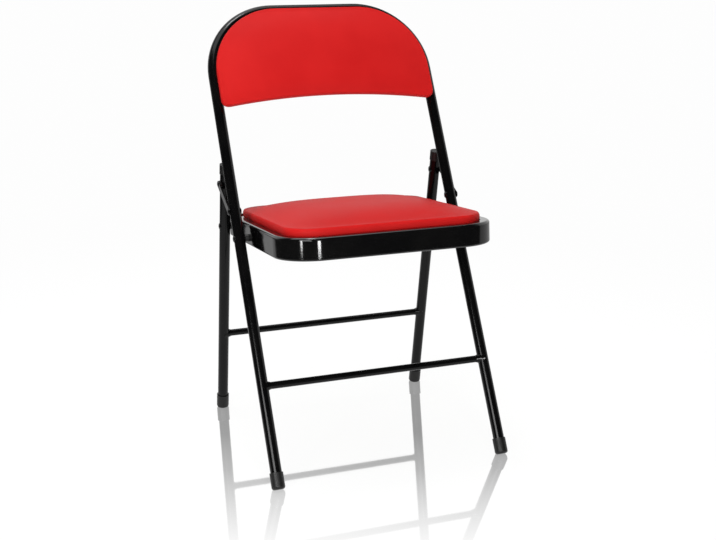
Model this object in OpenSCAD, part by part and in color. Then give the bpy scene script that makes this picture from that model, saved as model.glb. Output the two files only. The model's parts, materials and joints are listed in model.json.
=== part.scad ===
// Folding conference chair with a padded seat and a padded back.
// X runs to the right as seen from the front, Y runs to the back, Z is up.
// The origin is on the floor, under the middle of the open chair's bounding box.

/* [Front frame] */
// Outside diameter of the legs and of the bent back tube
tube_d = 20; // [18:0.5:22]
// Wall of the legs and of the bent back tube
tube_wall = 1.2; // [0.8:0.1:2]
// Height of the open chair
chair_h = 783; // [763:1:803]
// Distance between the centre lines of the front legs
front_w = 420; // [414:1:430]
// Lean of the front frame, backwards from upright
front_lean = 29.5; // [28.5:0.1:30.5]
// Centre line radius of the two bends at the top
bend_r = 129; // [105:1:150]
// Height of the front crossbar
front_bar_h = 157; // [120:1:200]
// Outside diameter of both crossbars
bar_d = 12.7; // [10:0.1:16]
// Wall of both crossbars
bar_wall = 1; // [0.8:0.1:2]
// Length of the weld flare at each end of a crossbar
weld_len = 5; // [2:0.5:10]
// How far a weld flare stands out round its crossbar
weld_rise = 1.6; // [0.5:0.1:3]

/* [Rear legs] */
// How much further in than the front legs each rear leg stands
rear_in = 1.5; // [0:0.5:3]
// Lean of the rear legs, forwards from upright
rear_lean = 11; // [10:0.1:12]
// Distance along a rear leg from the strap link's pivot to the leg's tip
tip_up = 37.7; // [30:0.1:45]
// Height of the rear crossbar
rear_bar_h = 163.5; // [120:0.5:210]
// Wall of the cap on each tip
tip_cap_wall = 0.95; // [0.6:0.05:1.5]
// Length of the cap on each tip
tip_cap_len = 18; // [10:1:22]
// Thickness of the closed end of the cap on each tip
tip_cap_end = 2.5; // [1:0.5:5]

/* [Foot caps] */
// Wall of a foot cap
foot_wall = 1.75; // [1.2:0.05:2]
// Length of a foot cap along its leg
foot_len = 29; // [20:1:40]
// Thickness of a foot cap under the end of its leg
foot_end = 7; // [6:0.5:12]
// Rounding of a foot cap's lower edge
foot_round = 5; // [3:0.5:6]
// How much of the rounded edge the floor cuts flat
foot_flat = 2; // [1:0.1:2.5]
// Radial clearance between a cap and the tube inside it
cap_clear = 0.05; // [0.02:0.01:0.1]

/* [Folding linkage] */
// Height of the pivot between the seat and the front frame
seat_pivot_h = 390; // [380:1:400]
// Distance from that pivot to the pan's rear edge, along the pan
seat_pivot_in = 157.8; // [155:0.1:160]
// Height of that pivot above the pan's lower edge
seat_pivot_up = 13; // [12.5:0.1:14]
// Distance from the rear legs' pivot to the pan's rear edge, along the pan
leg_pivot_in = 43.1; // [41:0.1:46]
// Height of the rear legs' pivot above the pan's lower edge
leg_pivot_up = 21.6; // [20:0.1:23]
// Distance along a rear leg from its pivot in the pan to the strap link's pivot
strap_up = 84.6; // [83:0.1:86]
// Gap between the front and rear tubes when the chair is folded
folded_gap = 2.5; // [2.3:0.1:3]
// Width of a strap link
strap_w = 12; // [10:0.5:13]
// Thickness of a strap link
strap_t = 2; // [1.5:0.1:3]
// Radius of the rivets that carry the seat
seat_rivet_r = 4; // [3:0.1:4.5]
// Radius of the rivets at the ends of the strap links
strap_rivet_r = 3; // [2.5:0.1:3.5]
// Radius of a rivet's head
rivet_head_r = 6; // [5.2:0.1:6.3]
// Height of a rivet's head
rivet_head_h = 1.5; // [1.2:0.1:2.5]
// Radial clearance of a rivet in the piece that turns on it
pivot_clear = 0.05; // [0.02:0.01:0.1]
// Gap between pieces that turn past each other
side_clear = 0.3; // [0.2:0.05:0.4]
// Outside radius of a spacer ring
spacer_r = 6.5; // [5.5:0.1:7]

/* [Seat pan] */
// Gap between each side of the pan and the front leg beside it
pan_side_gap = 6; // [5:0.5:9]
// Depth of the pan from front to back
pan_depth = 391; // [380:1:400]
// Height of the pan's skirt
pan_h = 38.5; // [37:0.5:46]
// Thickness of the pan's sheet
pan_t = 1.2; // [0.8:0.1:1.6]
// Slope of the pan, down to the back
pan_tilt = 5.3; // [5:0.1:5.6]
// Corner radius at the front of the pan
pan_front_r = 70; // [60:1:72]
// Corner radius at the back of the pan
pan_rear_r = 26; // [24:1:28]
// Rounding of the pan's upper edge
pan_top_r = 5; // [3:0.5:6]
// Rounding of the pan's lower edge
pan_low_r = 3.5; // [2.5:0.5:4]
// Width of the pan's rim round the pad
rim_w = 14.5; // [12:0.5:18]
// Depth of the tray inside the rim
tray_depth = 2.5; // [2:0.5:4]
// Thickness of the plates that line the pan's sides
bracket_t = 2.5; // [2:0.5:4]

/* [Seat pad] */
// Gap between the pad and the pan's rim
pad_gap = 1; // [0.5:0.5:2]
// Height of the pad's crown above the pan's rim
pad_crown = 30.5; // [22:0.5:34]
// Height of the pad's edge above the pan's rim
pad_edge = 13; // [9:0.5:15]
// Corner radius at the front of the pad
pad_front_r = 52; // [50:1:75]
// Corner radius at the back of the pad
pad_rear_r = 50; // [45:1:80]
// How far the pad's side is drawn in at the bottom
pad_tuck = 3; // [1:0.5:5]
// Thickness of the seat board
seat_board_t = 8; // [6:0.5:10]
// How far a board stays inside its pad's outline
board_inset = 6; // [5:0.5:12]

/* [Back] */
// How far each side of the pad stays inside the tube's centre line
back_in = 2; // [1.5:0.5:6]
// Distance from the top tube's centre line, along the frame, to the pad's lower corners
back_h = 196.5; // [175:0.5:200]
// Distance from the tube's centre line down to the pad's upper edge
back_drop = 6.5; // [4:0.5:12]
// Rise of the pad's lower edge in the middle
back_arch = 15; // [9:0.5:18]
// Radius of the pad's lower corners
back_corner_r = 12; // [11:0.5:25]
// Thickness of the back pad at its edge
back_edge = 13; // [12:0.5:16]
// Thickness of the back pad at its crown
back_crown = 23; // [19:0.5:28]
// Thickness of the back board
back_board_t = 6; // [4:0.5:8]
// Thickness of the back panel
panel_t = 1; // [0.8:0.1:2]
// How far the panel's lower edge stays above the pad's
panel_lift = 6; // [4:0.5:12]

/* [Screws] */
// Shank radius of the screws that hold the boards
screw_r = 2; // [1.5:0.1:2.5]
// Head radius of the screws
screw_head_r = 4; // [3:0.5:5]
// Head height of the screws
screw_head_h = 2; // [1.5:0.1:3]
// Length of each slot of the cross in a screw's head
recess_len = 4.6; // [3:0.1:5]
// Width of each slot of the cross
recess_w = 1; // [0.8:0.1:1.4]
// Depth of the cross
recess_depth = 1.1; // [0.6:0.1:1.2]

/* [Hidden] */
$fn = 64;
eps = 0.01;
overrun = 2;
soft_clear = 0.3;
head_lift = 0.3;
bracket_edge = 14;
bracket_tip = 16;
screw_tip_cover = 1;
panel_hem = 5;
foot_bore_overrun = 1;

tube_r = tube_d/2;
foot_r = tube_r + cap_clear + foot_wall;
tip_cap_r = tube_r + cap_clear + tip_cap_wall;
front_half = front_w/2;
rear_half = front_half - rear_in;
pan_half = front_half - tube_r - pan_side_gap;

// Distance along the front frame from the floor to the top tube's centre line
frame_top = (chair_h - tube_r)/cos(front_lean);

// Pivots in the pan's own axes: back along the pan, then up from its lower edge
seat_pivot_pan = [pan_depth - seat_pivot_in, seat_pivot_up];
leg_pivot_pan = [pan_depth - leg_pivot_in, leg_pivot_up];

// Places as [y, z] in a frame whose origin is where the front legs meet the floor
function front_at(z) = [z*tan(front_lean), z];
function from_pan(p) =
    [p[0]*cos(pan_tilt) + p[1]*sin(pan_tilt), p[1]*cos(pan_tilt) - p[0]*sin(pan_tilt)];
function along(p) = p[0]*sin(front_lean) + p[1]*cos(front_lean);

// The front legs carry the pan, and the pan gives the rear legs their place
seat_pivot = front_at(seat_pivot_h);
pan_place = seat_pivot - from_pan(seat_pivot_pan);
leg_pivot = pan_place + from_pan(leg_pivot_pan);
foot_spread = leg_pivot[0] + leg_pivot[1]*tan(rear_lean);
strap_pivot = leg_pivot + strap_up*[-sin(rear_lean), cos(rear_lean)];
rear_tip = strap_pivot[1]/cos(rear_lean) + tip_up;

// The box round the open chair runs from the pan's front edge to the top tube
y_low = pan_place[0] + pan_low_r*(cos(pan_tilt) + sin(pan_tilt) - 1);
y_high = frame_top*sin(front_lean) + tube_r;
y_shift = -(y_low + y_high)/2;

// Folded, the rear legs lie behind the front legs and parallel to them
fold_step = tube_d + folded_gap;
pivot_reach = norm(leg_pivot - seat_pivot);
folded_leg_s = along(seat_pivot) - sqrt(pow(pivot_reach, 2) - pow(fold_step, 2));
folded_strap_s = folded_leg_s + norm(strap_pivot - leg_pivot);

// The strap's other pivot lies on the front tube, as far from both places of the rear one
strap_top_s = (pow(norm(strap_pivot), 2) - pow(folded_strap_s, 2) - pow(fold_step, 2))
    / (2*(along(strap_pivot) - folded_strap_s));
strap_root = [strap_top_s*sin(front_lean), strap_top_s*cos(front_lean)];
strap_run = strap_pivot - strap_root;
strap_len = norm(strap_run);
strap_angle = atan2(strap_run[1], strap_run[0]);

// Places across the chair
front_in_x = front_half - tube_r;
front_out_x = front_half + tube_r;
rear_in_x = rear_half - tube_r;
rear_out_x = rear_half + tube_r;
bracket_x = pan_half - pan_t - bracket_t;
strap_x = front_out_x + side_clear;
strap_out_x = strap_x + strap_t;

// Pads in their own axes
tray_z = pan_h - tray_depth;
pad_inset = rim_w + pan_t + pad_gap;
pad_low_z = tray_z + soft_clear;
pad_edge_z = pan_h + pad_edge;
pad_top_z = pan_h + pad_crown;
back_low = frame_top - back_h;
back_top = frame_top - back_drop;
back_half = front_half - back_in;
back_bend_r = bend_r - back_in;
panel_n = tube_r + panel_t;

// Points on each corner arc and rings over each crown
arc_steps = 8;
run_steps = 8;
arch_steps = 12;
side_rings = 6;
crown_rings = 8;
crown_power = 3.5;
edge_power = 7;
tuck_angle = -50;

// Axes of the front frame, of the rear legs and of the pan
module on_front() {
    translate([0, y_shift, 0]) rotate([-front_lean, 0, 0]) children();
}

module on_rear() {
    translate([0, y_shift + foot_spread, 0]) rotate([rear_lean, 0, 0]) children();
}

module on_pan() {
    translate([0, y_shift + pan_place[0], pan_place[1]]) rotate([-pan_tilt, 0, 0]) children();
}

// A pivot's axis, along X, at a [y, z] place
module at_pivot(p) {
    translate([0, y_shift + p[0], p[1]]) rotate([0, 90, 0]) children();
}

module both_sides() {
    children();
    mirror([1, 0, 0]) children();
}

// A plain round piece along the local Z axis between two places
module rod(r, from, to) {
    translate([0, 0, from]) cylinder(h = to - from, r = r);
}

module ring(outer, inner, from, to) {
    difference() {
        rod(outer, from, to);
        rod(inner, from - overrun, to + overrun);
    }
}

module tube_section(d, wall) {
    difference() {
        circle(d = d);
        circle(d = d - 2*wall);
    }
}

module straight_tube(d, wall, from, to) {
    translate([0, 0, from]) linear_extrude(to - from) tube_section(d, wall);
}

// A low domed rivet head that grows from place x, outwards along the local Z axis
module rivet_head(x) {
    crown_r = (pow(rivet_head_r, 2) + pow(rivet_head_h, 2))/(2*rivet_head_h);
    translate([0, 0, x]) intersection() {
        translate([0, 0, rivet_head_h - crown_r]) sphere(r = crown_r);
        cylinder(h = rivet_head_h, r = rivet_head_r);
    }
}

// How far a round piece across a tube reaches down from the tube's crown to its side
function saddle(r) = tube_r - sqrt(pow(tube_r, 2) - pow(r, 2)) + head_lift;

// A rivet head on a collar that is to be cut to the round tube whose crown is at place x
module seated_head(x) {
    rivet_head(x + head_lift);
    rod(rivet_head_r, x - saddle(rivet_head_r), x + head_lift);
}

// Outlines of the front and rear tubes on one side, as solid bars
module front_bar_solid(side) {
    on_front() translate([side*front_half, 0, 0]) rod(tube_r, 0, frame_top);
}

module rear_bar_solid(side) {
    on_rear() translate([side*rear_half, 0, 0]) rod(tube_r, 0, rear_tip);
}

// Place of a foot cap's end so that the floor cuts its rounded edge flat
function foot_start(lean) =
    (foot_round - foot_flat + (foot_r - foot_round)*sin(lean))/cos(lean) - foot_round;

module foot_cap(lean) {
    start = foot_start(lean);
    difference() {
        rotate_extrude() translate([0, start]) union() {
            square([foot_r - foot_round, foot_len]);
            translate([0, foot_round]) square([foot_r, foot_len - foot_round]);
            translate([foot_r - foot_round, foot_round]) intersection() {
                circle(r = foot_round);
                translate([0, -foot_round]) square([foot_round, foot_round]);
            }
        }
        rod(tube_r + cap_clear, start + foot_end, start + foot_len + foot_bore_overrun);
    }
}

// Everything above the floor, for cutting the foot caps flat
module above_floor() {
    translate([-chair_h, -chair_h, 0]) cube([2*chair_h, 2*chair_h, chair_h]);
}

module bent_corner() {
    translate([front_half - bend_r, 0, frame_top - bend_r]) rotate([90, 0, 0])
        rotate_extrude(angle = 90) translate([bend_r, 0]) tube_section(tube_d, tube_wall);
}

module frame_tube() {
    leg_start = foot_start(front_lean) + foot_end;
    color("#141414") difference() {
        on_front() union() {
            both_sides() {
                translate([front_half, 0, 0])
                    straight_tube(tube_d, tube_wall, leg_start, frame_top - bend_r);
                bent_corner();
            }
            translate([bend_r - front_half, 0, frame_top]) rotate([0, 90, 0])
                straight_tube(tube_d, tube_wall, 0, front_w - 2*bend_r);
        }
        both_sides() {
            at_pivot(seat_pivot) rod(seat_rivet_r, front_in_x - overrun, front_out_x + overrun);
            at_pivot(strap_root) rod(strap_rivet_r, front_in_x - overrun, front_out_x + overrun);
        }
    }
}

// A crossbar with its weld flares, cut to fit round the tubes at its ends
module crossbar(half) {
    flare_x = half - tube_r - weld_len;
    rotate([0, 90, 0]) difference() {
        union() {
            rod(bar_d/2, -half, half);
            both_ends() translate([0, 0, flare_x])
                cylinder(h = weld_len + tube_r, r1 = bar_d/2,
                    r2 = bar_d/2 + weld_rise*(weld_len + tube_r)/weld_len);
        }
        rod(bar_d/2 - bar_wall, -half - overrun, half + overrun);
    }
}

module both_ends() {
    children();
    mirror([0, 0, 1]) children();
}

module front_crossbar() {
    color("#141414") difference() {
        on_front() translate([0, 0, front_bar_h/cos(front_lean)]) crossbar(front_half);
        front_bar_solid(1);
        front_bar_solid(-1);
    }
}

module front_foot(side) {
    color("#1c1c1c") intersection() {
        on_front() translate([side*front_half, 0, 0]) foot_cap(front_lean);
        above_floor();
    }
}

// Rivets fixed in the front tube: the seat turns on them inside the pan
module seat_pivot_rivets() {
    inner_x = bracket_x - side_clear;
    color("#2a2a2a") both_sides() {
        difference() {
            at_pivot(seat_pivot) seated_head(front_out_x);
            front_bar_solid(1);
        }
        at_pivot(seat_pivot) {
            rod(seat_rivet_r, inner_x - eps, front_out_x + head_lift);
            mirror([0, 0, 1]) rivet_head(-inner_x);
        }
    }
}

// Rivets fixed in the front tube: the strap links turn on them outside the frame
module strap_root_rivets() {
    head_x = strap_out_x + side_clear;
    color("#2a2a2a") both_sides() {
        difference() {
            at_pivot(strap_root) mirror([0, 0, 1]) seated_head(-front_in_x);
            front_bar_solid(1);
        }
        at_pivot(strap_root) {
            rod(strap_rivet_r, front_in_x - head_lift, head_x + eps);
            rivet_head(head_x);
        }
    }
}

// Corner arcs of a rounded outline, each [centre x, centre y, radius, first angle, last angle]
function arc_points(c) = [for (i = [0:arc_steps])
    let (a = c[3] + (c[4] - c[3])*i/arc_steps) [c[0] + c[2]*cos(a), c[1] + c[2]*sin(a)]];

// The points of two following arcs and of the straight run between them, without the second arc
function arc_and_run(c, next) =
    let (here = arc_points(c), from = here[arc_steps], to = arc_points(next)[0])
    concat(here, [for (i = [1:run_steps - 1]) from + (to - from)*i/run_steps]);

// An outline with two bends above, two corners below and a lower edge that rises in the middle
function bow_outline(half, low, top, bend, corner) =
    let (arch_half = half - corner,
        right_low = [arch_half, low + corner, corner, -90, 0],
        right_top = [half - bend, top - bend, bend, 0, 90],
        left_top = [bend - half, top - bend, bend, 90, 180],
        left_low = [-arch_half, low + corner, corner, 180, 270])
    concat(
        arc_and_run(right_low, right_top),
        arc_and_run(right_top, left_top),
        arc_and_run(left_top, left_low),
        arc_points(left_low),
        [for (i = [1:arch_steps - 1])
            let (share = 2*i/arch_steps - 1) [arch_half*share, low + back_arch*(1 - share*share)]]);

// Outline of the back pad or of its board, drawn in by an inset, in the front frame's axes
function back_outline(inset) = bow_outline(back_half - inset, back_low + inset, back_top - inset,
    back_bend_r - inset, back_corner_r - inset/2);

// The panel follows the tube's centre line and, below, the pad's arch
function panel_outline() =
    bow_outline(front_half, back_low + panel_lift, frame_top, bend_r, back_corner_r);

// Outline of the seat pad or of its board, drawn in by an inset from the pad's edge
function seat_outline(inset) =
    let (half = pan_half - pad_inset - inset,
        front = pad_inset + inset,
        rear = pan_depth - pad_inset - inset,
        front_r = pad_front_r - inset,
        rear_r = pad_rear_r - inset,
        right_front = [half - front_r, front + front_r, front_r, -90, 0],
        right_rear = [half - rear_r, rear - rear_r, rear_r, 0, 90],
        left_rear = [rear_r - half, rear - rear_r, rear_r, 90, 180],
        left_front = [front_r - half, front + front_r, front_r, 180, 270])
    concat(
        arc_and_run(right_front, right_rear),
        arc_and_run(right_rear, left_rear),
        arc_and_run(left_rear, left_front),
        arc_and_run(left_front, right_front));

function span_of(points, k) = let (v = [for (p = points) p[k]]) [min(v), max(v)];

// One ring of a pad: the outline shrunk towards its middle, at one height
function ring_at(outline, middle, scale, z) =
    [for (p = outline) [middle[0] + (p[0] - middle[0])*scale, middle[1] + (p[1] - middle[1])*scale, z]];

// Share of the crown's rise on a ring of one scale, at shares of the half width and half depth
function crown_share(scale, x, y) =
    (1 - pow(scale, edge_power))*(1 - pow(abs(x), crown_power))*(1 - pow(abs(y), crown_power));

// A pad with drawn-in sides and a crown, closed flat below, as one polyhedron
module pad(outline, low_z, edge_z, top_z, tuck) {
    x_span = span_of(outline, 0);
    y_span = span_of(outline, 1);
    middle = [(x_span[0] + x_span[1])/2, (y_span[0] + y_span[1])/2];
    reach = (x_span[1] - x_span[0])/2;
    depth = (y_span[1] - y_span[0])/2;
    side_mid = (low_z + edge_z)/2;
    side_half = (edge_z - low_z)/2;
    side_scales = [for (i = [0:side_rings])
        let (a = tuck_angle + (90 - tuck_angle)*i/side_rings) 1 - tuck/reach*(1 - cos(a))];
    side_heights = [for (i = [0:side_rings])
        let (a = tuck_angle + (90 - tuck_angle)*i/side_rings)
        i == 0 ? low_z : side_mid + side_half*sin(a)];
    crown_scales = [for (i = [1:crown_rings]) (1 - tuck/reach)*(1 - i/(crown_rings + 1))];
    count = len(outline);
    rings = len(side_scales) + len(crown_scales);
    points = concat(
        [for (k = [0:side_rings]) each ring_at(outline, middle, side_scales[k], side_heights[k])],
        [for (scale = crown_scales) for (p = ring_at(outline, middle, scale, edge_z))
            [p[0], p[1], edge_z + (top_z - edge_z)*crown_share(scale,
                (p[0] - middle[0])/reach, (p[1] - middle[1])/depth)]],
        [[middle[0], middle[1], top_z], [middle[0], middle[1], low_z]]);
    top_point = rings*count;
    walls = [for (k = [0:rings - 2]) for (i = [0:count - 1])
        let (j = (i + 1) % count, a = k*count + i, b = k*count + j, c = b + count, d = a + count)
        each [[a, c, b], [a, d, c]]];
    lid = [for (i = [0:count - 1])
        let (j = (i + 1) % count, k = (rings - 1)*count) [k + i, top_point, k + j]];
    base = [for (i = [0:count - 1]) let (j = (i + 1) % count) [i, j, top_point + 1]];
    polyhedron(points = points, faces = concat(walls, lid, base));
}

// The back pad's own axes: X, the length of the frame, and forwards out of the frame
module on_back() {
    on_front() rotate([90, 0, 0]) children();
}

// Screws in the back, each [share of the half width, share of the pad's height]
back_screw_shares = [[-0.82, 0.2], [0.82, 0.2], [-0.6, 0.78], [0.6, 0.78]];
module at_back_screws() {
    for (s = back_screw_shares)
        translate([s[0]*back_half, back_low + s[1]*(back_top - back_low), 0]) children();
}

module back_panel() {
    color("#141414") difference() {
        on_back() translate([0, 0, tube_r]) union() {
            linear_extrude(panel_t) polygon(panel_outline());
            translate([0, 0, -panel_hem]) linear_extrude(panel_hem + eps) panel_hem_shape();
        }
        on_back() at_back_screws() rod(screw_r, 0, panel_n + overrun);
    }
}

// A turned-back flange that stiffens the panel's lower edge, between the tubes
module panel_hem_shape() {
    hem_half = front_in_x - tube_r;
    intersection() {
        difference() {
            polygon(panel_outline());
            translate([0, panel_t]) polygon(panel_outline());
        }
        translate([-hem_half, back_low]) square([2*hem_half, panel_lift + back_arch + 2*panel_t]);
    }
}

module back_board() {
    color("#b08d5b") on_back() difference() {
        translate([0, 0, panel_n]) linear_extrude(back_board_t) polygon(back_outline(board_inset));
        at_back_screws() rod(screw_r, 0, panel_n + back_board_t - screw_tip_cover);
    }
}

module back_cushion() {
    low_z = panel_n + soft_clear;
    pocket_inset = board_inset - soft_clear;
    color("#d21f26") on_back() difference() {
        pad(back_outline(0), low_z, panel_n + back_edge, panel_n + back_crown, pad_tuck);
        translate([0, 0, low_z - overrun])
            linear_extrude(overrun + back_board_t) polygon(back_outline(pocket_inset));
    }
}

// A cross-head screw whose head lies under one height and whose tip reaches another
module screw(under, tip) {
    low = under - screw_head_h;
    difference() {
        union() {
            rod(screw_r, under - eps, tip);
            rod(screw_head_r, low, under);
        }
        for (turn = [0, 90])
            rotate([0, 0, turn]) translate([-recess_len/2, -recess_w/2, low - overrun])
                cube([recess_len, recess_w, overrun + recess_depth]);
    }
}

module back_screws() {
    color("#8c8c8c") on_back() at_back_screws()
        screw(tube_r, panel_n + back_board_t - screw_tip_cover);
}

// Section of the pan's edge: X is outwards from the skirt's outer face, Y is up
module pan_section() {
    union() {
        translate([-pan_t, pan_low_r]) square([pan_t, pan_h - pan_low_r - pan_top_r]);
        translate([-rim_w - pan_t, pan_h - pan_t]) square([rim_w + pan_t - pan_top_r, pan_t]);
        translate([-rim_w - pan_t, tray_z - pan_t]) square([pan_t, tray_depth + pan_t]);
        translate([-pan_top_r, pan_h - pan_top_r]) quarter_ring(pan_top_r, 1);
        translate([-pan_low_r, pan_low_r]) quarter_ring(pan_low_r, -1);
    }
}

module quarter_ring(r, up) {
    intersection() {
        tube_section(2*r, pan_t);
        translate([0, up > 0 ? 0 : -r]) square([r, r]);
    }
}

module pan_edge_corner(x, y, r, turn) {
    translate([x, y, 0]) rotate([0, 0, turn])
        rotate_extrude(angle = 90) translate([r, 0]) pan_section();
}

module pan_edge_side(x, y, turn, run) {
    translate([x, y, 0]) rotate([0, 0, turn]) rotate([90, 0, 0])
        linear_extrude(run) pan_section();
}

module pan_rim() {
    front_x = pan_half - pan_front_r;
    rear_x = pan_half - pan_rear_r;
    rear_y = pan_depth - pan_rear_r;
    side_run = rear_y - pan_front_r;
    pan_edge_corner(front_x, pan_front_r, pan_front_r, -90);
    pan_edge_corner(-front_x, pan_front_r, pan_front_r, 180);
    pan_edge_corner(rear_x, rear_y, pan_rear_r, 0);
    pan_edge_corner(-rear_x, rear_y, pan_rear_r, 90);
    pan_edge_side(pan_half, rear_y, 0, side_run);
    pan_edge_side(-pan_half, pan_front_r, 180, side_run);
    pan_edge_side(front_x, 0, -90, 2*front_x);
    pan_edge_side(-rear_x, pan_depth, 90, 2*rear_x);
}

// The pan's floor, with true arcs at its corners
module pan_floor_shape() {
    half = pan_half - rim_w;
    front_r = pan_front_r - rim_w;
    rear_r = pan_rear_r - rim_w;
    union() {
        translate([-half, rim_w + front_r]) square([2*half, pan_depth - 2*rim_w - front_r - rear_r]);
        translate([front_r - half, rim_w]) square([2*(half - front_r), front_r]);
        translate([rear_r - half, pan_depth - rim_w - rear_r]) square([2*(half - rear_r), rear_r]);
        for (side = [-1, 1]) {
            translate([side*(half - front_r), rim_w + front_r]) circle(r = front_r);
            translate([side*(half - rear_r), pan_depth - rim_w - rear_r]) circle(r = rear_r);
        }
    }
}

// Screws in the seat, each [share of the half width, share of the depth]
seat_screw_shares = [[-0.6, 0.24], [0.6, 0.24], [-0.6, 0.78], [0.6, 0.78]];
module at_seat_screws() {
    for (s = seat_screw_shares) translate([s[0]*pan_half, s[1]*pan_depth, 0]) children();
}

// Holes through both sides of the pan for the pivot rivets
module pan_pivot_holes(r) {
    for (p = [seat_pivot_pan, leg_pivot_pan])
        translate([0, p[0], p[1]]) rotate([0, 90, 0]) rod(r, -pan_half - overrun, pan_half + overrun);
}

module seat_pan() {
    color("#121212") on_pan() difference() {
        union() {
            pan_rim();
            translate([0, 0, tray_z - pan_t]) linear_extrude(pan_t) pan_floor_shape();
        }
        pan_pivot_holes(seat_rivet_r + pivot_clear);
        at_seat_screws() rod(screw_r, tray_z - pan_t - overrun, tray_z + overrun);
    }
}

// A plate welded inside the pan's skirt that carries both pivots on its side
module seat_bracket(side) {
    low_z = pan_low_r;
    high_z = pan_h - pan_top_r;
    from_y = seat_pivot_pan[0] - bracket_edge;
    to_y = leg_pivot_pan[0] + min(bracket_edge, pan_depth - pan_rear_r - leg_pivot_pan[0]);
    x = side > 0 ? bracket_x : -pan_half + pan_t;
    color("#1a1a1a") on_pan() difference() {
        translate([x, from_y, low_z]) rotate([90, 0, 90]) linear_extrude(bracket_t)
            polygon([[0, 0], [to_y - from_y, 0], [to_y - from_y, high_z - low_z],
                [bracket_tip, high_z - low_z], [0, high_z - low_z - bracket_tip]]);
        pan_pivot_holes(seat_rivet_r + pivot_clear);
    }
}

module seat_board() {
    color("#b08d5b") on_pan() difference() {
        translate([0, 0, tray_z]) linear_extrude(seat_board_t)
            polygon(seat_outline(board_inset));
        at_seat_screws() rod(screw_r, tray_z - overrun, tray_z + seat_board_t - screw_tip_cover);
    }
}

module seat_cushion() {
    pocket_inset = board_inset - soft_clear;
    color("#d21f26") on_pan() difference() {
        pad(seat_outline(0), pad_low_z, pad_edge_z, pad_top_z, pad_tuck);
        translate([0, 0, pad_low_z - overrun])
            linear_extrude(overrun + seat_board_t) polygon(seat_outline(pocket_inset));
    }
}

module seat_screws() {
    color("#8c8c8c") on_pan() at_seat_screws()
        screw(tray_z - pan_t, tray_z + seat_board_t - screw_tip_cover);
}

module seat_pivot_spacers() {
    color("#2a2a2a") both_sides() at_pivot(seat_pivot)
        ring(spacer_r, seat_rivet_r + pivot_clear, pan_half, front_in_x - side_clear);
}

module leg_pivot_spacers() {
    color("#2a2a2a") both_sides() at_pivot(leg_pivot)
        ring(spacer_r, seat_rivet_r + pivot_clear, pan_half, rear_in_x - side_clear);
}

module rear_leg(side) {
    leg_start = foot_start(rear_lean) + foot_end;
    color("#141414") difference() {
        on_rear() translate([side*rear_half, 0, 0])
            straight_tube(tube_d, tube_wall, leg_start, rear_tip - tip_cap_end);
        at_pivot(leg_pivot) rod(seat_rivet_r, -rear_out_x - overrun, rear_out_x + overrun);
        at_pivot(strap_pivot) rod(strap_rivet_r, -rear_out_x - overrun, rear_out_x + overrun);
    }
}

module rear_crossbar() {
    color("#141414") difference() {
        on_rear() translate([0, 0, rear_bar_h/cos(rear_lean)]) crossbar(rear_half);
        rear_bar_solid(1);
        rear_bar_solid(-1);
    }
}

module rear_foot(side) {
    color("#1c1c1c") intersection() {
        on_rear() translate([side*rear_half, 0, 0]) foot_cap(rear_lean);
        above_floor();
    }
}

module rear_tip_caps() {
    color("#1c1c1c") both_sides() on_rear() translate([rear_half, 0, 0]) difference() {
        rod(tip_cap_r, rear_tip - tip_cap_len, rear_tip);
        rod(tube_r + cap_clear, rear_tip - tip_cap_len - overrun, rear_tip - tip_cap_end);
    }
}

// Rivets fixed in the rear legs: the seat turns on them inside the pan
module leg_pivot_rivets() {
    inner_x = bracket_x - side_clear;
    color("#2a2a2a") both_sides() {
        difference() {
            at_pivot(leg_pivot) seated_head(rear_out_x);
            rear_bar_solid(1);
        }
        at_pivot(leg_pivot) {
            rod(seat_rivet_r, inner_x - eps, rear_out_x + head_lift);
            mirror([0, 0, 1]) rivet_head(-inner_x);
        }
    }
}

// Rivets through the rear legs' tops, each ending just short of its strap link
module leg_top_rivets() {
    color("#2a2a2a") both_sides() {
        difference() {
            at_pivot(strap_pivot) mirror([0, 0, 1]) seated_head(-rear_in_x);
            rear_bar_solid(1);
        }
        at_pivot(strap_pivot) rod(strap_rivet_r, rear_in_x - head_lift, strap_x - side_clear);
    }
}

module leg_top_spacers() {
    color("#2a2a2a") both_sides() difference() {
        at_pivot(strap_pivot)
            ring(spacer_r, strap_rivet_r, rear_out_x - saddle(spacer_r), strap_x - side_clear);
        rear_bar_solid(1);
    }
}

// A flat link with round ends on the outer side of the frame
module strap(side) {
    x = side > 0 ? strap_x : -strap_out_x;
    color("#1a1a1a") difference() {
        translate([x, y_shift + strap_root[0], strap_root[1]]) rotate([90, 0, 90])
            linear_extrude(strap_t) rotate([0, 0, strap_angle]) union() {
                circle(r = strap_w/2);
                translate([strap_len, 0]) circle(r = strap_w/2);
                translate([0, -strap_w/2]) square([strap_len, strap_w]);
            }
        at_pivot(strap_root) rod(strap_rivet_r + pivot_clear, -strap_out_x - overrun, strap_out_x + overrun);
        at_pivot(strap_pivot) rod(strap_rivet_r, -strap_out_x - overrun, strap_out_x + overrun);
    }
}

// The half of the rivet that stays with the strap link at the rear leg's top
module strap_rivet() {
    color("#2a2a2a") at_pivot(strap_pivot) {
        rod(strap_rivet_r, strap_x, strap_out_x + eps);
        rivet_head(strap_out_x);
    }
}

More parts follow.
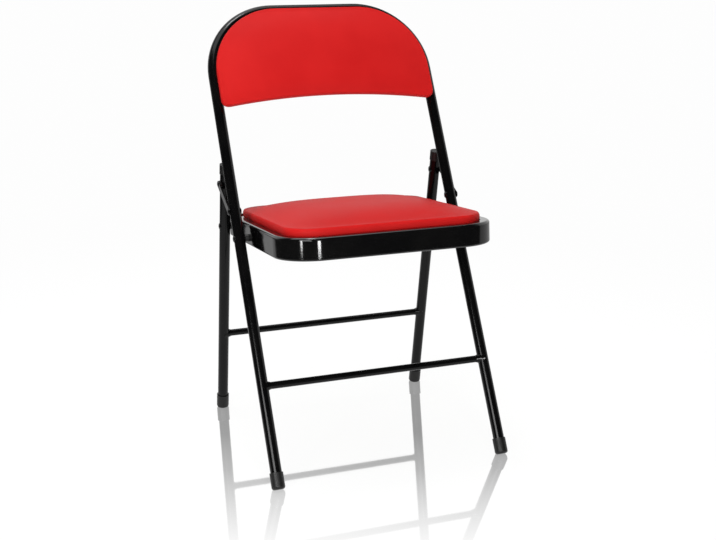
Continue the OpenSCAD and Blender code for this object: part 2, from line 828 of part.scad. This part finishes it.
frame_tube();
front_crossbar();
front_foot(-1);  // front_foot_left
front_foot(1);  // front_foot_right
seat_pivot_rivets();
strap_root_rivets();
back_panel();
back_board();
back_cushion();
back_screws();
seat_pan();
seat_bracket(-1);  // seat_bracket_left
seat_bracket(1);  // seat_bracket_right
seat_board();
seat_cushion();
seat_screws();
seat_pivot_spacers();
leg_pivot_spacers();
rear_leg(-1);  // rear_leg_left
rear_leg(1);  // rear_leg_right
rear_crossbar();
rear_foot(-1);  // rear_foot_left
rear_foot(1);  // rear_foot_right
rear_tip_caps();
leg_pivot_rivets();
leg_top_rivets();
leg_top_spacers();
strap(-1);  // strap_left
strap(1);  // strap_right
mirror([1, 0, 0]) strap_rivet();  // strap_rivet_left
strap_rivet();  // strap_rivet_right
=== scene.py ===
import json
import math

import bmesh
import bpy
from mathutils import Matrix, Vector
from mathutils.kdtree import KDTree


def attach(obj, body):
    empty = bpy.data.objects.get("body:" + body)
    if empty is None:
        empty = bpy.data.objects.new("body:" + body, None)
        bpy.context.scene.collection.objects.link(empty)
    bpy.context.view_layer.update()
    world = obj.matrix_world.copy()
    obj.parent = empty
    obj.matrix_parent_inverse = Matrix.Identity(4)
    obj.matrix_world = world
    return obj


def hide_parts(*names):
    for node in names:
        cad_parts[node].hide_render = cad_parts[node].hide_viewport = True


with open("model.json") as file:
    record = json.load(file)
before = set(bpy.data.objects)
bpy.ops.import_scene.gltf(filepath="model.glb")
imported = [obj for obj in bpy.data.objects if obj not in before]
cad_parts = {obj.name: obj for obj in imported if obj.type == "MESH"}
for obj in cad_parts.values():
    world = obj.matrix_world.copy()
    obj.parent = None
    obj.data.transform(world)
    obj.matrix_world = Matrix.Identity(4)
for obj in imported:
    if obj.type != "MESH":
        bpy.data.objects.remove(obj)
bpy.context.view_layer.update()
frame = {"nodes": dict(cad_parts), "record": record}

MM = 0.001


def rgb(r, g, b):
    return (r, g, b, 1.0)


def add_object(name, data):
    obj = bpy.data.objects.new(name, data)
    bpy.context.scene.collection.objects.link(obj)
    return obj


# ---------------------------------------------------------------- camera
YAW, PITCH, ROLL = 0.3466283, 0.2743790, -0.0045784
CAMERA_AT = Vector((-0.695275, -1.963408, 0.879920))
WIDTH_PX, HEIGHT_PX = 716.0, 540.0
FOCAL_PX, CENTRE_PX = 1166.603, (358.759, 279.889)
SENSOR_MM = 36.0


def make_camera():
    """The photo's camera: yaw and pitch down from +Y, a slight roll, and an off-centre middle."""
    flat = math.cos(PITCH)
    forward = Vector((math.sin(YAW) * flat, math.cos(YAW) * flat, -math.sin(PITCH)))
    right = Vector((math.cos(YAW), -math.sin(YAW), 0.0))
    up = right.cross(forward)
    c, s = math.cos(ROLL), math.sin(ROLL)
    axes = (c * right + s * up, c * up - s * right, -forward)
    data = bpy.data.cameras.new("camera")
    data.sensor_width = SENSOR_MM
    data.lens = FOCAL_PX * SENSOR_MM / WIDTH_PX
    data.shift_x = (WIDTH_PX / 2 - CENTRE_PX[0]) / WIDTH_PX
    data.shift_y = (CENTRE_PX[1] - HEIGHT_PX / 2) / WIDTH_PX
    cam = add_object("camera", data)
    cam.matrix_world = Matrix.Translation(CAMERA_AT) @ Matrix(axes).transposed().to_4x4()
    bpy.context.scene.camera = cam


# ---------------------------------------------------------------- looks that are tuned together
WHITE, PLAIN_WHITE = rgb(1.0, 1.0, 1.0), 0.985   # the second is how strongly plain white shines
RED_LOW, RED_HIGH = rgb(0.475, 0.0085, 0.0085), rgb(0.53, 0.0115, 0.011)
STUDIO_DIM, BACKDROP_WHITE = rgb(0.05, 0.05, 0.05), rgb(1.0, 1.0, 0.995)

# The floor's own white and how much lamps add to it; how strongly it mirrors at three depths,
# and between which depths the mirror images end
FLOOR_LEVEL, FLOOR_LIT = 0.932, 0.08
MIRROR_AT, MIRROR_SHARE = (-0.49, -0.19, -0.03), (0.03, 0.52, 0.66)
MIRROR_END, MIRROR_ROUGH = (0.25, 0.55), (0.03, 0.045)


# ---------------------------------------------------------------- materials
WHOLE, MOST = (0.0, 1.0), (0.3, 0.7)   # all of a value's range, and where most of a noise lies


class Nodes:
    """A small helper that adds nodes to a material or world and links them."""

    def __init__(self, owner):
        owner.use_nodes = True
        self.tree = owner.node_tree
        self.tree.nodes.clear()

    def add(self, kind, inputs, **values):
        node = self.tree.nodes.new(kind)
        for key, value in values.items():
            setattr(node, key, value)
        for key, value in inputs.items():
            if isinstance(value, bpy.types.NodeSocket):
                self.tree.links.new(value, node.inputs[key])
            else:
                node.inputs[key].default_value = value
        return node

    def coords(self, scale=(1.0, 1.0, 1.0)):
        where = self.add("ShaderNodeTexCoord", {}).outputs["Object"]
        return self.add("ShaderNodeMapping", {"Vector": where, "Scale": scale}).outputs[0]

    def noise(self, at, scale, detail=2.0, rough=0.5, output="Fac"):
        return self.add("ShaderNodeTexNoise", {
            "Vector": at, "Scale": scale, "Detail": detail, "Roughness": rough}).outputs[output]

    def remap(self, value, source, target=WHOLE, curve="LINEAR"):
        return self.add("ShaderNodeMapRange", {
            "Value": value, "From Min": source[0], "From Max": source[1],
            "To Min": target[0], "To Max": target[1]}, interpolation_type=curve).outputs[0]

    def smooth(self, value, source, target=WHOLE):
        return self.remap(value, source, target, "SMOOTHSTEP")

    def calc(self, operation, a, b):
        return self.add("ShaderNodeMath", {0: a, 1: b}, operation=operation).outputs[0]

    def vector(self, operation, *terms, output="Vector"):
        inputs = dict(enumerate(terms))
        return self.add("ShaderNodeVectorMath", inputs, operation=operation).outputs[output]

    def along(self, axis, at):
        return self.add("ShaderNodeSeparateXYZ", {0: at}).outputs[axis]

    def blend(self, factor, a, b):
        return self.add("ShaderNodeMix", {0: factor, 6: a, 7: b}, data_type="RGBA").outputs[2]

    def bump(self, height, strength, distance, over=None):
        inputs = {"Height": height, "Strength": strength, "Distance": distance}
        if over is not None:
            inputs["Normal"] = over
        return self.add("ShaderNodeBump", inputs).outputs[0]

    def emission(self, strength):
        return self.add("ShaderNodeEmission", {"Color": WHITE, "Strength": strength}).outputs[0]

    def diffuse(self, level):
        return self.add("ShaderNodeBsdfDiffuse", {"Color": rgb(level, level, level)}).outputs[0]

    def mix_shaders(self, factor, a, b):
        return self.add("ShaderNodeMixShader", {0: factor, 1: a, 2: b}).outputs[0]

    def add_shaders(self, a, b):
        return self.add("ShaderNodeAddShader", {0: a, 1: b}).outputs[0]

    def surface(self, colour, rough, normal, specular=0.5, metallic=0.0):
        shader = self.add("ShaderNodeBsdfPrincipled", {
            "Base Color": colour, "Roughness": rough, "Normal": normal,
            "Specular IOR Level": specular, "Metallic": metallic})
        self.add("ShaderNodeOutputMaterial", {0: shader.outputs[0]})


def new_material(name):
    mat = bpy.data.materials.new(name)
    return mat, Nodes(mat)


def enamel(name, specular, rough):
    """Black stove enamel: glossy, with a faint orange peel, dust specks and hazy patches."""
    mat, n = new_material(name)
    at = n.coords()
    cloud = n.noise(at, scale=18.0, detail=3.0)
    peel = n.noise(at, scale=420.0, detail=1.0)
    speck = n.remap(n.noise(at, scale=900.0, rough=0.7), (0.68, 0.8))
    haze = n.remap(n.noise(at, scale=55.0, detail=4.0, rough=0.65), (0.55, 0.75))
    colour = n.blend(n.remap(cloud, (0.35, 0.65)),
                     rgb(0.0016, 0.0016, 0.0018), rgb(0.0030, 0.0029, 0.0029))
    gloss = n.calc("ADD", n.remap(cloud, MOST, rough), n.remap(haze, WHOLE, (0.0, 0.05)))
    normal = n.bump(peel, strength=0.05, distance=0.0004)
    normal = n.bump(speck, strength=0.04, distance=0.0002, over=normal)
    n.surface(colour, gloss, normal, specular)
    return mat


def cap_rubber():
    """Moulded black caps: satin, fine-grained, with scuffs that are a little paler."""
    mat, n = new_material("cap_rubber")
    at = n.coords()
    cloud = n.noise(at, scale=60.0, detail=3.0)
    grain = n.noise(at, scale=1500.0, rough=0.6)
    streaks = n.noise(n.coords((1.0, 1.0, 7.0)), scale=90.0, detail=5.0, rough=0.7)
    scuff = n.remap(streaks, (0.62, 0.72))
    colour = n.blend(cloud, rgb(0.0035, 0.0035, 0.0035), rgb(0.008, 0.008, 0.0077))
    colour = n.blend(scuff, colour, rgb(0.016, 0.016, 0.0155))
    gloss = n.calc("ADD", n.remap(cloud, MOST, (0.36, 0.48)), n.remap(scuff, WHOLE, (0.0, 0.12)))
    n.surface(colour, gloss, n.bump(grain, strength=0.25, distance=0.0002), specular=0.3)
    return mat


def nylon():
    """Black moulded spacers, dull and finely grained."""
    mat, n = new_material("nylon")
    grain = n.noise(n.coords(), scale=900.0)
    colour = n.blend(grain, rgb(0.004, 0.004, 0.004), rgb(0.009, 0.009, 0.009))
    n.surface(colour, n.remap(grain, MOST, (0.4, 0.5)),
              n.bump(grain, strength=0.15, distance=0.0001), specular=0.35)
    return mat


def zinc():
    """Plated screws with a slightly uneven shine."""
    mat, n = new_material("zinc_screw")
    cloud = n.noise(n.coords(), scale=700.0, detail=3.0)
    colour = n.blend(cloud, rgb(0.42, 0.42, 0.43), rgb(0.6, 0.6, 0.58))
    n.surface(colour, n.remap(cloud, MOST, (0.25, 0.42)),
              n.bump(cloud, strength=0.1, distance=0.0001), metallic=1.0)
    return mat


def plywood():
    """Bare boards under the pads, with a long grain."""
    mat, n = new_material("plywood")
    grain = n.noise(n.coords((6.0, 6.0, 200.0)), scale=12.0, detail=6.0, rough=0.6)
    colour = n.blend(grain, rgb(0.36, 0.22, 0.11), rgb(0.58, 0.40, 0.22))
    n.surface(colour, n.remap(grain, MOST, (0.55, 0.75)),
              n.bump(grain, strength=0.3, distance=0.0004))
    return mat


def vinyl():
    """Red upholstery vinyl: pressed leather grain, a dull sheen and slightly uneven colour."""
    mat, n = new_material("red_vinyl")
    at = n.coords()
    cloud = n.noise(at, scale=9.0, detail=3.0)
    warp = n.noise(at, scale=260.0, output="Color")
    bent = n.vector("MULTIPLY_ADD", warp, (0.0012, 0.0012, 0.0012), at)
    cells = n.add("ShaderNodeTexVoronoi", {"Vector": bent, "Scale": 760.0},
                  feature="DISTANCE_TO_EDGE").outputs["Distance"]
    crease = n.remap(cells, (0.0, 0.12))
    fine = n.noise(at, scale=2600.0, rough=0.6)
    pull = n.noise(n.coords((1.0, 0.45, 1.0)), scale=24.0, rough=0.45)
    colour = n.blend(n.remap(cloud, MOST), RED_LOW, RED_HIGH)
    normal = n.bump(pull, strength=0.03, distance=0.004)
    normal = n.bump(crease, strength=0.16, distance=0.00016, over=normal)
    normal = n.bump(fine, strength=0.08, distance=0.00008, over=normal)
    n.surface(colour, n.remap(cloud, MOST, (0.50, 0.58)), normal, specular=0.08)
    return mat


# ---------------------------------------------------------------- surroundings, in metres
# The backdrop's direction, and where it fades in sideways and fades out upwards
BACKDROP_TOWARDS = (0.469, 0.883, 0.0)
BACKDROP_SIDE, BACKDROP_TOP = (0.08, 0.32), (0.5, 0.8)

# The floor's half side, how far out it turns plain white, and what it sends to matt surfaces
FLOOR_HALF, FLOOR_FADE, FLOOR_BOUNCE = 60.0, (0.9, 2.2), 0.8

# The white sweep that gloss shows: where it ends at the left and in front, and how it dims
SWEEP_LEFT, SWEEP_FRONT = (-1.45, -1.05), (-1.5, -0.9)
SWEEP_REACH, SWEEP_LEVELS, SWEEP_LEAST = (0.9, 1.4), (0.95, 0.55), 0.05

# Name, place, point aimed at, width and height, radiance
SOFTBOXES = (
    ("key", (-1.31, -1.72, 1.06), (-0.1, -0.1, 0.45), (1.3, 0.62), 10.0),
    ("overhead", (-0.2, 0.35, 2.7), (0.0, 0.1, 0.45), (2.4, 2.2), 2.6),
    ("overhead_small", (-0.25, 0.05, 2.6), (0.0, 0.1, 0.45), (0.42, 0.42), 22.0),
    ("strip_left", (-1.70, -1.55, 0.50), (-0.15, -0.2, 0.50), (0.20, 0.56), 24.0),
    ("strip_front", (-0.16, -2.25, 0.57), (-0.15, -0.2, 0.57), (0.26, 0.60), 30.0),
)


def make_world():
    """A white backdrop in one direction and a dim studio elsewhere; plain white to the camera."""
    world = bpy.data.worlds.new("studio")
    bpy.context.scene.world = world
    n = Nodes(world)
    way = n.add("ShaderNodeTexCoord", {}).outputs["Generated"]
    side = n.vector("DOT_PRODUCT", way, BACKDROP_TOWARDS, output="Value")
    share = n.calc("MULTIPLY", n.smooth(side, BACKDROP_SIDE),
                   n.smooth(n.along("Z", way), BACKDROP_TOP, (1.0, 0.0)))
    colour = n.blend(share, STUDIO_DIM, BACKDROP_WHITE)
    studio = n.add("ShaderNodeBackground", {"Color": colour, "Strength": 1.0})
    plain = n.add("ShaderNodeBackground", {"Color": WHITE, "Strength": PLAIN_WHITE})
    path = n.add("ShaderNodeLightPath", {})
    both = n.mix_shaders(path.outputs["Is Camera Ray"], studio.outputs[0], plain.outputs[0])
    n.add("ShaderNodeOutputWorld", {0: both})


def floor_to_camera(n, where, reach):
    """The floor's own white, a faint shadow, and mirror images that fade towards the front."""
    depth = n.vector("DOT_PRODUCT", where, (math.sin(YAW), math.cos(YAW), 0.0), output="Value")
    front, middle, back = MIRROR_AT
    low, mid, high = MIRROR_SHARE
    share = n.calc("ADD", n.remap(depth, (front, middle), (low, mid)),
                   n.remap(depth, (middle, back), (0.0, high - mid)))
    share = n.calc("MULTIPLY", share, n.smooth(depth, MIRROR_END, (1.0, 0.0)))
    own = n.emission(n.calc("SUBTRACT", FLOOR_LEVEL, share))
    lit = n.diffuse(FLOOR_LIT)
    rough = n.remap(n.noise(where, scale=300.0), MOST, MIRROR_ROUGH)
    mirror = n.add("ShaderNodeBsdfGlossy", {"Color": share, "Roughness": rough}).outputs[0]
    near = n.add_shaders(n.add_shaders(own, lit), mirror)
    return n.mix_shaders(n.smooth(reach, FLOOR_FADE), near, n.emission(PLAIN_WHITE))


def floor_in_gloss(n, where, reach):
    """Bright near the chair, greyer further off, dark beyond the sweep's edges."""
    left = n.smooth(n.along("X", where), SWEEP_LEFT)
    front = n.smooth(n.along("Y", where), SWEEP_FRONT)
    strength = n.calc("MULTIPLY", n.calc("MULTIPLY", left, front),
                      n.smooth(reach, SWEEP_REACH, SWEEP_LEVELS))
    return n.emission(n.calc("MAXIMUM", strength, SWEEP_LEAST))


def make_floor():
    """One shape for the floor: a white surface to the camera, a sweep in gloss."""
    mesh = bpy.data.meshes.new("floor")
    corners = [(x * FLOOR_HALF, y * FLOOR_HALF, 0) for x, y in ((-1, -1), (1, -1), (1, 1), (-1, 1))]
    mesh.from_pydata(corners, [], [(0, 1, 2, 3)])
    floor = add_object("floor", mesh)
    mat, n = new_material("floor")
    where = n.add("ShaderNodeTexCoord", {}).outputs["Object"]
    flat = n.vector("MULTIPLY", where, (1.0, 1.0, 0.0))
    reach = n.vector("LENGTH", flat, output="Value")
    path = n.add("ShaderNodeLightPath", {}).outputs
    gloss = n.calc("MAXIMUM", path["Is Glossy Ray"], path["Is Transmission Ray"])
    unseen = n.mix_shaders(gloss, n.diffuse(FLOOR_BOUNCE), floor_in_gloss(n, where, reach))
    both = n.mix_shaders(path["Is Camera Ray"], unseen, floor_to_camera(n, where, reach))
    n.add("ShaderNodeOutputMaterial", {0: both})
    mesh.materials.append(mat)


def softbox(name, at, aim, size, radiance):
    """A rectangular lamp that the camera doesn't see, as bright as radiance whatever its size."""
    data = bpy.data.lights.new(name, "AREA")
    data.shape = "RECTANGLE"
    data.size, data.size_y = size
    data.energy = radiance * math.pi * size[0] * size[1]
    lamp = add_object(name, data)
    lamp.location = at
    lamp.rotation_euler = (Vector(aim) - Vector(at)).to_track_quat("-Z", "Y").to_euler()
    lamp.visible_camera = False


# ---------------------------------------------------------------- the pads, in mm
FRONT_LEAN, PAN_TILT = math.radians(29.5), math.radians(5.3)
Y_SHIFT = -217.4491                              # where the tube's middle line meets the floor
PAN_OVERHANG, PAN_FRONT_H = 12.7524, 398.5964    # the pan's front, ahead of there and up

# Matrices from the pan's axes and from the back's axes to the part's frame, in metres
ON_PAN = (Matrix.Translation((0, (Y_SHIFT - PAN_OVERHANG) * MM, PAN_FRONT_H * MM))
          @ Matrix.Rotation(-PAN_TILT, 4, "X"))
ON_BACK = (Matrix.Translation((0, Y_SHIFT * MM, 0)) @ Matrix.Rotation(-FRONT_LEAN, 4, "X")
           @ Matrix.Rotation(math.radians(90), 4, "X"))

# Outlines: the seat's in the pan's axes, the back's up along the leaning tube
SEAT_HALF, SEAT_FRONT, SEAT_REAR = 177.3, 16.7, 374.3
SEAT_FRONT_R, SEAT_REAR_R = 52.0, 50.0
BACK_HALF, BACK_LOW, BACK_TOP = 208.0, 691.6426, 881.6426
BACK_BEND_R, BACK_CORNER_R, BACK_ARCH = 127.0, 12.0, 15.0

# Heights over the pan's lower edge, or in front of the tube's middle line:
# the underside, the board's thickness, the edge and the top
SEAT_HEIGHTS = (36.3, 8.0, 51.5, 69.0)
BACK_HEIGHTS = (11.3, 6.0, 24.0, 34.0)

# The pads' cross-section: a pocket for the board, sides that turn round and are drawn in by TUCK
# at the top and bottom, and a crown, flat in the middle and steep at its edge
OUTLINE_POINTS = 176
POCKET_INSET, POCKET_LIP = 5.7, 0.6
POCKET_RINGS, POCKET_FLARE = (0.25, 0.5, 0.75, 0.97), 1.001
SIDE_TURN, SIDE_STEPS, TUCK = (-50, 90), 12, 3.0
CROWN_STEPS, CROWN_SPACING = 36, 1.25
CROWN_POWER, EDGE_POWER = 3.5, 7.0

# The most that the cloth run adds: a share of the pad's height, and a little on top
RISE_SHARE, RISE_EXTRA = 0.04, 1.0

# The cloth run, and how its bulge is carried over: points lower than PINNED stay where they are,
# and a point takes the move of those around it, over a wider circle further up the crown
VOXEL, PINNED = 4.5, 3.0
CLOTH_QUALITY, PRESSURE, FRAMES = 6, 4.0, 20
CIRCLE_AT_EDGE, CIRCLE_GROWTH, CIRCLE_FULL_AT, CIRCLE_CUT = 10.0, 22.0, 0.7, 2.2


def arc(cx, cy, r, a0, a1, steps):
    """The points of an arc from angle a0 to a1, in degrees."""
    turns = [math.radians(a0 + (a1 - a0) * i / steps) for i in range(steps + 1)]
    return [(cx + r * math.cos(a), cy + r * math.sin(a)) for a in turns]


def run(a, b, steps):
    """The points between a and b, without them."""
    return [(a[0] + (b[0] - a[0]) * i / steps, a[1] + (b[1] - a[1]) * i / steps)
            for i in range(1, steps)]


def evenly(points, count):
    """The closed outline again, with its points the same distance apart."""
    sides = [math.dist(p, points[(i + 1) % len(points)]) for i, p in enumerate(points)]
    step, out, i, gone = sum(sides) / count, [], 0, 0.0
    for k in range(count):
        while gone + sides[i] < k * step:
            gone += sides[i]
            i += 1
        a, b, t = points[i], points[(i + 1) % len(points)], (k * step - gone) / sides[i]
        out.append((a[0] + (b[0] - a[0]) * t, a[1] + (b[1] - a[1]) * t))
    return out


def seat_outline(inset):
    half, front, rear = SEAT_HALF - inset, SEAT_FRONT + inset, SEAT_REAR - inset
    front_r, rear_r = SEAT_FRONT_R - inset, SEAT_REAR_R - inset
    corner_steps, side_steps = 16, 18
    arcs = [arc(half - front_r, front + front_r, front_r, -90, 0, corner_steps),
            arc(half - rear_r, rear - rear_r, rear_r, 0, 90, corner_steps),
            arc(rear_r - half, rear - rear_r, rear_r, 90, 180, corner_steps),
            arc(front_r - half, front + front_r, front_r, 180, 270, corner_steps)]
    out = []
    for a, after in zip(arcs, arcs[1:] + arcs[:1]):
        out += a + run(a[-1], after[0], side_steps)
    return out


def back_outline(inset):
    half, low, top = BACK_HALF - inset, BACK_LOW + inset, BACK_TOP - inset
    bend, corner = BACK_BEND_R - inset, BACK_CORNER_R - inset / 2
    corner_steps, side_steps, bend_steps, top_steps, arch_steps = 8, 8, 24, 18, 32
    arch_half = half - corner
    a = arc(arch_half, low + corner, corner, -90, 0, corner_steps)
    b = arc(half - bend, top - bend, bend, 0, 90, bend_steps)
    c = arc(bend - half, top - bend, bend, 90, 180, bend_steps)
    d = arc(-arch_half, low + corner, corner, 180, 270, corner_steps)
    out = a + run(a[-1], b[0], side_steps) + b + run(b[-1], c[0], top_steps)
    out += c + run(c[-1], d[0], side_steps) + d
    for i in range(1, arch_steps):
        share = 2 * i / arch_steps - 1
        out.append((arch_half * share, low + BACK_ARCH * (1 - share * share)))
    return out


def level(z):
    """The height of a flat ring."""
    return lambda x, y: z


def crown(edge, top, s):
    """The crown's height on the ring that is s times the outline; x and y go from -1 to 1."""
    rise = (top - edge) * (1 - s ** EDGE_POWER)
    return lambda x, y: edge + rise * (1 - abs(x) ** CROWN_POWER) * (1 - abs(y) ** CROWN_POWER)


def pad_rings(outline, pocket, reach, low, board, edge, top):
    """Each ring's points, scale and height, from the pocket's middle, out and up to the crown's."""
    for scale in POCKET_RINGS:
        yield pocket, scale, level(low + board)
    if board:
        yield pocket, 1.0, level(low + board)
        yield pocket, 1.0, level(low + POCKET_LIP)
        yield pocket, POCKET_FLARE, level(low)
    for i in range(SIDE_STEPS + 1):
        a = math.radians(SIDE_TURN[0] + (SIDE_TURN[1] - SIDE_TURN[0]) * i / SIDE_STEPS)
        z = low if i == 0 else (low + edge) / 2 + (edge - low) / 2 * math.sin(a)
        yield outline, 1 - TUCK / reach * (1 - math.cos(a)), level(z)
    for i in range(1, CROWN_STEPS):
        s = 1 - (i / CROWN_STEPS) ** CROWN_SPACING
        yield outline, (1 - TUCK / reach) * s, crown(edge, top, s)


def pad_mesh(name, outline_at, low, board, edge, top):
    """A pad with drawn-in sides, a crown and, unless board is 0, a pocket under it for its board,
    in its own axes, in metres."""
    outline = evenly(outline_at(0.0), OUTLINE_POINTS)
    pocket = evenly(outline_at(POCKET_INSET), OUTLINE_POINTS)
    xs, ys = [p[0] for p in outline], [p[1] for p in outline]
    mid_x, mid_y = (min(xs) + max(xs)) / 2, (min(ys) + max(ys)) / 2
    reach, depth = (max(xs) - min(xs)) / 2, (max(ys) - min(ys)) / 2
    bm = bmesh.new()

    def point(p, scale, height):
        x, y = (p[0] - mid_x) * scale, (p[1] - mid_y) * scale
        return bm.verts.new(((mid_x + x) * MM, (mid_y + y) * MM, height(x / reach, y / depth) * MM))

    rings = [[point(p, scale, height) for p in points]
             for points, scale, height in pad_rings(outline, pocket, reach, low, board, edge, top)]
    ways = [(i, (i + 1) % OUTLINE_POINTS) for i in range(OUTLINE_POINTS)]
    for a, b in zip(rings, rings[1:]):
        for i, j in ways:
            bm.faces.new((a[i], a[j], b[j], b[i]))
    for r, z in ((rings[0], low + board), (rings[-1], top)):
        centre = bm.verts.new((mid_x * MM, mid_y * MM, z * MM))
        for i, j in ways:
            bm.faces.new((centre, r[i], r[j]))
    bmesh.ops.recalc_face_normals(bm, faces=bm.faces)
    mesh = bpy.data.meshes.new(name)
    bm.to_mesh(mesh)
    bm.free()
    return mesh


def evaluated(obj):
    bpy.context.view_layer.update()
    graph = bpy.context.evaluated_depsgraph_get()
    return bpy.data.meshes.new_from_object(obj.evaluated_get(graph))


def blow_up(solid, low):
    """A cloth run on a remeshed copy of the solid pad: its points and how far each one moves."""
    copy = add_object("air", solid)
    remesh = copy.modifiers.new("remesh", "REMESH")
    remesh.mode = "VOXEL"
    remesh.voxel_size = VOXEL * MM
    start = evaluated(copy)
    copy.modifiers.clear()
    copy.data = start
    pins = copy.vertex_groups.new(name="pins")
    pins.add([v.index for v in start.vertices if v.co.z < (low + PINNED) * MM], 1.0, "REPLACE")
    cover = copy.modifiers.new("cover", "CLOTH")
    cover.settings.quality = CLOTH_QUALITY
    cover.settings.use_pressure = True
    cover.settings.uniform_pressure_force = PRESSURE
    cover.settings.vertex_group_mass = "pins"
    cover.settings.effector_weights.gravity = 0.0
    cover.point_cache.frame_start, cover.point_cache.frame_end = 1, FRAMES
    for f in range(1, FRAMES + 1):
        bpy.context.scene.frame_set(f)
    end = evaluated(copy)
    bpy.context.scene.frame_set(1)
    points = [v.co.copy() for v in start.vertices]
    moves = [v.co - p for v, p in zip(end.vertices, points)]
    bpy.data.objects.remove(copy)
    return points, moves


def swell(mesh, solid, low, edge, top, rise):
    """Carries the cloth's bulge over to the pad, smoothed: all of it at the edge and above, less
    towards the underside, and scaled down so that no point moves by more than rise."""
    points, moves = blow_up(solid, low)
    tree = KDTree(len(points))
    for i, p in enumerate(points):
        tree.insert(p, i)
    tree.balance()
    full_at, pinned = CIRCLE_FULL_AT * (top - edge), low + PINNED
    lift, normals = [], [v.normal.copy() for v in mesh.vertices]
    for v, normal in zip(mesh.vertices, normals):
        inward = min(1.0, max(0.0, v.co.z / MM - edge) / full_at)
        wide = (CIRCLE_AT_EDGE + CIRCLE_GROWTH * inward) * MM
        found = tree.find_range(v.co, CIRCLE_CUT * wide) or tree.find_n(v.co, 4)
        weights = [math.exp(-(d / wide) ** 2) + 1e-6 for _, _, d in found]
        move = sum((moves[i] * w for (_, i, _), w in zip(found, weights)), Vector()) / sum(weights)
        share = min(1.0, max(0.0, (v.co.z / MM - pinned) / (edge - pinned)))
        lift.append(max(0.0, move.dot(normal)) * share * share * (3.0 - 2.0 * share))
    scale = min(1.0, rise * MM / max(lift))
    for v, normal, h in zip(mesh.vertices, normals, lift):
        v.co += normal * h * scale


def make_pad(name, node, body, outline_at, heights, place, material):
    """The pad's cover, built a little flat and blown up to its full height."""
    low, board, edge, top = heights
    rise = RISE_SHARE * (top - low) + RISE_EXTRA
    mesh = pad_mesh(name, outline_at, low, board, edge, top - rise)
    solid = pad_mesh("solid", outline_at, low, 0.0, edge, top - rise)
    swell(mesh, solid, low, edge, top - rise, rise)
    pad = add_object(name, mesh)
    pad.modifiers.new("smoother", "SUBSURF").levels = 1
    pad.data = evaluated(pad)
    pad.modifiers.clear()
    pad.data.name = name
    pad.data.transform(place)
    for poly in pad.data.polygons:
        poly.use_smooth = True
    pad.data.materials.clear()
    pad.data.materials.append(material)
    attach(pad, body)
    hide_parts(node)


# ---------------------------------------------------------------- build
make_camera()
make_world()
make_floor()
for row in SOFTBOXES:
    softbox(*row)

frame_paint = enamel("frame_enamel", specular=0.2, rough=(0.10, 0.16))
pan_paint = enamel("pan_enamel", specular=0.5, rough=(0.05, 0.09))
rivet_paint = enamel("rivet_enamel", specular=0.25, rough=(0.2, 0.3))
FINISH = {"cap_plastic": cap_rubber(), "spacer_plastic": nylon(), "rivet_steel": rivet_paint,
          "screw_steel": zinc(), "board_wood": plywood(), "black_paint": frame_paint,
          "red_vinyl": vinyl()}
slots = {s["node"]: s["material_slot"] for s in frame["record"]["subparts"]}
for node, obj in frame["nodes"].items():
    obj.data.materials.clear()
    obj.data.materials.append(pan_paint if node == "seat_pan" else FINISH[slots[node]])

red = FINISH["red_vinyl"]
make_pad("seat_pad", "seat_cushion", "seat", seat_outline, SEAT_HEIGHTS, ON_PAN, red)
make_pad("back_pad", "back_cushion", "front_frame", back_outline, BACK_HEIGHTS, ON_BACK, red)

bpy.context.scene.view_settings.view_transform = "Standard"
